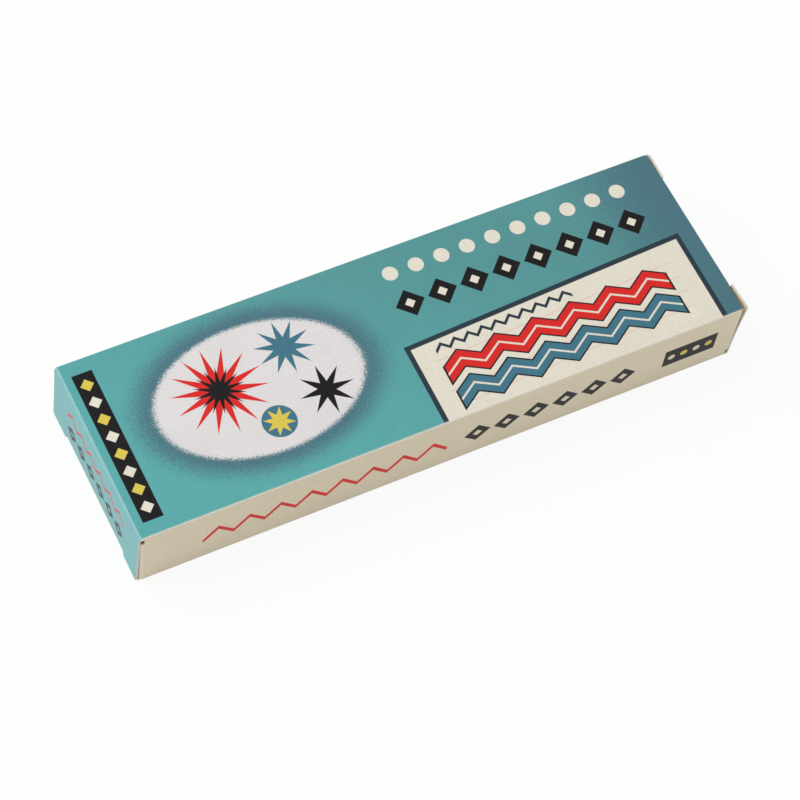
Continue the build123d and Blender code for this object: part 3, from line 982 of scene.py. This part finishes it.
def grain_group(name, **noises):
    """A group of noises, each with its grains per millimetre, its detail and its squeeze along the pen."""
    start, end = new_group(name, ["Point"], [label.title() for label in noises])
    x, y, z = apart(start["Point"])
    for label, (scale, detail, squeeze) in noises.items():
        strands = together(calc("MULTIPLY", x, squeeze), y, z)
        feed(end[label.title()], speckle(strands, scale, detail))


def grained(name, grain, light, dark, roughness, spread, relief=0.0):
    """A material whose grain shifts its colour, its gloss and, where it has some relief, its surface."""
    material, skin = new_material(name)
    point = face_point(skin)[0]
    grain = use_group(grain, point=point)
    feed(skin.inputs["Base Color"], overprint(light, dark, grain["Tone"]))
    gloss = calc("ADD", roughness, calc("MULTIPLY", grain["Tone"], spread))
    feed(skin.inputs["Roughness"], gloss)
    if relief:
        add_relief(skin, grain["Height"], relief, 0.1 * mm)
    return material, skin


# Moulded plastic: a faint flow cloudiness in the colour and a fine orange-peel skin.
grain_group("moulded_skin", tone=(0.35, 3.0, 1.0), height=(1.1, 1.0, 1.0))


def plastic(name, colour, roughness, peel=0.04):
    """A moulded plastic in one colour."""
    darker = tuple(c * 0.9 for c in colour[:3]) + (1,)
    return grained(name, "moulded_skin", colour, darker, roughness - 0.05, 0.1, peel)[0]


barrel = turn("barrel", [
    *[(bore_end + tail_length - q, r) for q, r in dome(0, tail_length, 3.6, 0, 90, 10)],
    (95.0, 4.04), (60.0, 4.49), (52.1, 4.59), (51.8, 4.55), (seam, 4.42),
    (seam, 3.72), (51.8, 3.6), (60.55, 3.6), (60.6, 3.49), (129.6, 2.6), (bore_end, pole),
])
barrel_plastic = {"red": plastic("red_plastic", red, 0.22), "blue": plastic("blue_plastic", blue, 0.22)}
finish_pen_piece(barrel, barrel_plastic, "pen")

# The ink reservoir: a rod of bonded white fibre, soaked with clear ink. It lies in the barrel's bore, and the
# nib's back end dips into it.
grain_group("bonded_fibre", tone=(5.0, 3.0, 0.06), height=(8.0, 2.0, 0.06))


def fibre(name, colour, shade):
    """Bonded or pressed fibre with strands along the pen."""
    return grained(name, "bonded_fibre", colour, shade, 0.7, 0.2, 0.4)[0]


def dress_node(node, material):
    """Gives a solid that keeps its own shape its finish, on both pens."""
    for colour in ("red", "blue"):
        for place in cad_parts[f"{colour}_{node}"].material_slots:
            place.material = material


dress_node("ink_reservoir", fibre("reservoir_fibre", ink(240, 240, 238), ink(214, 216, 216)))

# The nose section: a pale moulded plug with a cone for the nib, a seat that the cap slides on and a spigot
# that is pressed into the barrel's mouth.
nose = turn("nose_section", [
    (41.15, 1.2), (41.15, 1.55), (41.3, 1.77), (45.6, 3.68), (45.65, 3.75), (45.65, 4.0), (45.8, 4.15),
    (seam, 4.15), (seam, 3.57), (60.0, 3.57), (60.15, 3.45), (60.15, 1.03), (41.3, 1.03),
])
finish_pen_piece(nose, plastic("nose_plastic", ink(206, 203, 200), 0.38), "pen")

# The nib: a rod of pressed fibre with a rounded point, pushed through the nose section's bore and fed by the
# reservoir.
nib = turn("nib", [*dome(38.55, 1.0, 1.0, 0, 90, 8), (64.8, 1.0), (64.9, 0.9), (64.9, pole)])
finish_pen_piece(nib, fibre("nib_fibre", ink(232, 228, 218), ink(196, 188, 170)), "pen")

# The cap body: a tapered moulded tube with a wall across it between the light and the nib, and a round hole
# in its front side for the light's button.
button_along = 19.6 * mm
button_hole = 2.2 * mm
cap = turn("cap_shell", [
    (15.0, 5.6), (15.15, 5.78), (33.0, 5.5), (51.2, 5.21), (51.45, 5.14), (51.55, 5.0), (51.55, 4.36),
    (51.4, 4.2), (36.95, 4.2), (36.95, pole), (35.75, pole), (35.75, 4.75), (15.0, 4.75),
])
cutter = add_start(
    "cylinder", "button_hole", vertices=48, radius=button_hole, depth=8 * mm, rotation=(math.pi / 2, 0, 0),
    location=pen_axis + Vector((button_along, -6 * mm, 0)),
)


def carve(piece, tool):
    """Closes a tool for edits, cuts its shape out of a piece and drops it."""
    bpy.ops.object.mode_set(mode="OBJECT")
    only(piece)
    hole = piece.modifiers.new("hole", "BOOLEAN")
    hole.operation = "DIFFERENCE"
    hole.solver = "EXACT"
    hole.object = tool
    bpy.ops.object.modifier_apply(modifier=hole.name)
    bpy.data.objects.remove(tool, do_unlink=True)


carve(cap, cutter)
cap_plastic = plastic("cap_plastic", ink(224, 220, 217), 0.3)
finish_pen_piece(cap, cap_plastic, "cap")

# The inner cap: a soft moulded liner, pressed into the cap body, that closes round the nose so that the nib
# stays wet.
dress_node("inner_cap", plastic("liner_plastic", ink(236, 236, 231), 0.5))

# The light head: the cap's rounded end, moulded on its own and plugged into the cap body by a spigot. It has
# a bore for the lamp and a slot on top for the clip.
clip_rise = math.radians(32.6)
slot_lean = math.radians(2)
slot_place = pen_axis + Vector((9.4 * mm, 0, 6.3 * mm))
slot_size = (11 * mm, 4.2 * mm, 2.1 * mm)
head = turn("light_head", [
    (1.75, 2.55), (1.6, 2.66), *dome(0, 15.0, 5.8, 29, 90, 16), (15.0, 4.65), (16.55, 4.65), (16.7, 4.5),
    (16.7, 3.6), (7.55, 3.6), (7.55, 2.55),
])
cutter = add_start(
    "cube", "clip_slot", size=1, location=slot_place, rotation=(0, -clip_rise - slot_lean, 0), scale=slot_size
)
choose("edges", lambda c: abs(c.y - pen_axis.y) > slot_size[1] / 2 - 0.1 * mm)
bpy.ops.mesh.bevel(offset=0.3 * mm, segments=2, affect="EDGES")
carve(head, cutter)
finish_pen_piece(head, cap_plastic, "cap")

# The clip: a bow of flat section, moulded in the cap's plastic and rooted in the light head's slot, that
# springs back on to the cap's side.
clip_width = 4.0 * mm
clip_thickness = 1.6 * mm
clip_end = 0.75 * mm
clip_edge = 0.45 * mm
first_run = 6.55 * mm
bow_radius = 22.0 * mm
bow_turn = math.radians(43.46)
last_run = 21.43 * mm
root = pen_axis + Vector((5.6 * mm, 0, 3.75 * mm))
along = Vector((math.cos(clip_rise), 0, math.sin(clip_rise)))
across = Vector((-math.sin(clip_rise), 0, math.cos(clip_rise)))
fall = Vector((math.cos(clip_rise - bow_turn), 0, math.sin(clip_rise - bow_turn)))
bow_centre = root + along * first_run - across * bow_radius
clip = add_start(
    "plane", "clip", size=1, location=root - along * clip_end, rotation=(0, math.pi / 2 - clip_rise, 0),
    scale=(clip_thickness, clip_width, 1),
)
bpy.ops.mesh.select_all(action="SELECT")
bpy.ops.mesh.extrude_region_move(TRANSFORM_OT_translate={"value": along * (first_run + clip_end)})
bpy.ops.mesh.spin(steps=14, angle=-bow_turn, center=bow_centre, axis=(0, 1, 0))
bpy.ops.mesh.extrude_region_move(TRANSFORM_OT_translate={"value": fall * (last_run + clip_end)})
bpy.ops.mesh.select_all(action="SELECT")
bpy.ops.mesh.remove_doubles(threshold=tiny)
bpy.ops.mesh.select_all(action="DESELECT")
bpy.ops.mesh.select_mode(type="FACE")
bpy.ops.mesh.select_interior_faces()
bpy.ops.mesh.delete(type="FACE")
close_up()
rounding = clip.modifiers.new("rounding", "BEVEL")
rounding.width = clip_edge
rounding.segments = 4
rounding.limit_method = "ANGLE"
rounding.angle_limit = math.radians(40)
bpy.ops.object.modifier_apply(modifier=rounding.name)
finish_pen_piece(clip, cap_plastic, "clip_arm", angle=60)

# The lamp: a diode cast in clear resin, with a round nose and a flange, pushed into the light head from
# behind.
lamp_body = turn("uv_led", [
    *dome(0, 2.5, 2.5, 0, 90, 10), (7.6, 2.5), (7.6, 2.9), (8.5, 2.9), (8.6, 2.8), (8.6, pole),
])
lamp_tint, lamp_shade = ink(226, 216, 246), ink(206, 194, 238)
lamp_clear, skin = grained("lamp_clear", "moulded_skin", lamp_tint, lamp_shade, 0.04, 0.05)
feed(skin.inputs["Transmission Weight"], 0.85)
feed(skin.inputs["IOR"], 1.5)
finish_pen_piece(lamp_body, lamp_clear, "cap")

# The wires, cells and contacts behind the lamp: tinned wire, plated steel cells in a black sleeve, and two
# stamped brass contacts.
grain_group("drawn_metal", tone=(6.0, 4.0, 0.1), height=(0.8, 2.0, 1.0))


def metal(name, colour, shade, roughness):
    """Drawn or stamped metal with fine lines along the pen."""
    material, skin = grained(name, "drawn_metal", colour, shade, roughness, 0.15, 0.05)
    feed(skin.inputs["Metallic"], 1.0)
    return material


brass = metal("contact_brass", ink(214, 180, 104), ink(186, 150, 80), 0.25)
dress_node("led_leads", metal("tinned_wire", ink(206, 206, 204), ink(176, 176, 174), 0.25))
dress_node("button_cells", metal("cell_steel", ink(206, 204, 200), ink(180, 178, 174), 0.2))
dress_node("cell_holder", plastic("holder_plastic", ink(34, 34, 35), 0.5))
dress_node("cell_contact", brass)
dress_node("switch_strip", brass)

# The light's button: a moulded grey key with a shallow dish on top, held by a flange behind the cap's wall
# so that it slides in its hole.
key_top, flange_foot = (corner.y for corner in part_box("red_light_button"))
flange_top = flange_foot - 0.5 * mm
flange_width = 0.5 * mm
key_radius = 2.1 * mm
key_edge = 0.35 * mm
dish_rim = 0.45 * mm
dish_slope = 0.5 * mm
dish_depth = 0.18 * mm
key_middle = Vector((pen_tip + button_along, (key_top + flange_foot) / 2, pen_axis.z))
key = add_start(
    "cylinder", "light_button", vertices=48, radius=key_radius, depth=flange_foot - key_top,
    location=key_middle, rotation=(math.pi / 2, 0, 0),
)
choose("faces", lambda c: c.y < key_top + tiny)
bpy.ops.mesh.bevel(offset=key_edge, segments=4, affect="EDGES")
choose("faces", lambda c: c.y < key_top + tiny)
bpy.ops.mesh.inset(thickness=dish_rim)
bpy.ops.mesh.inset(thickness=dish_slope)
bpy.ops.transform.translate(value=(0, dish_depth, 0))
cut_at("y", [flange_top])
choose("faces", lambda c: flange_top < c.y < flange_foot - tiny)
bpy.ops.mesh.extrude_region_shrink_fatten(TRANSFORM_OT_shrink_fatten={"value": flange_width})
close_up()
key_plastic = plastic("button_plastic", ink(152, 150, 152), 0.45, peel=0.15)
finish_pen_piece(key, key_plastic, "button")
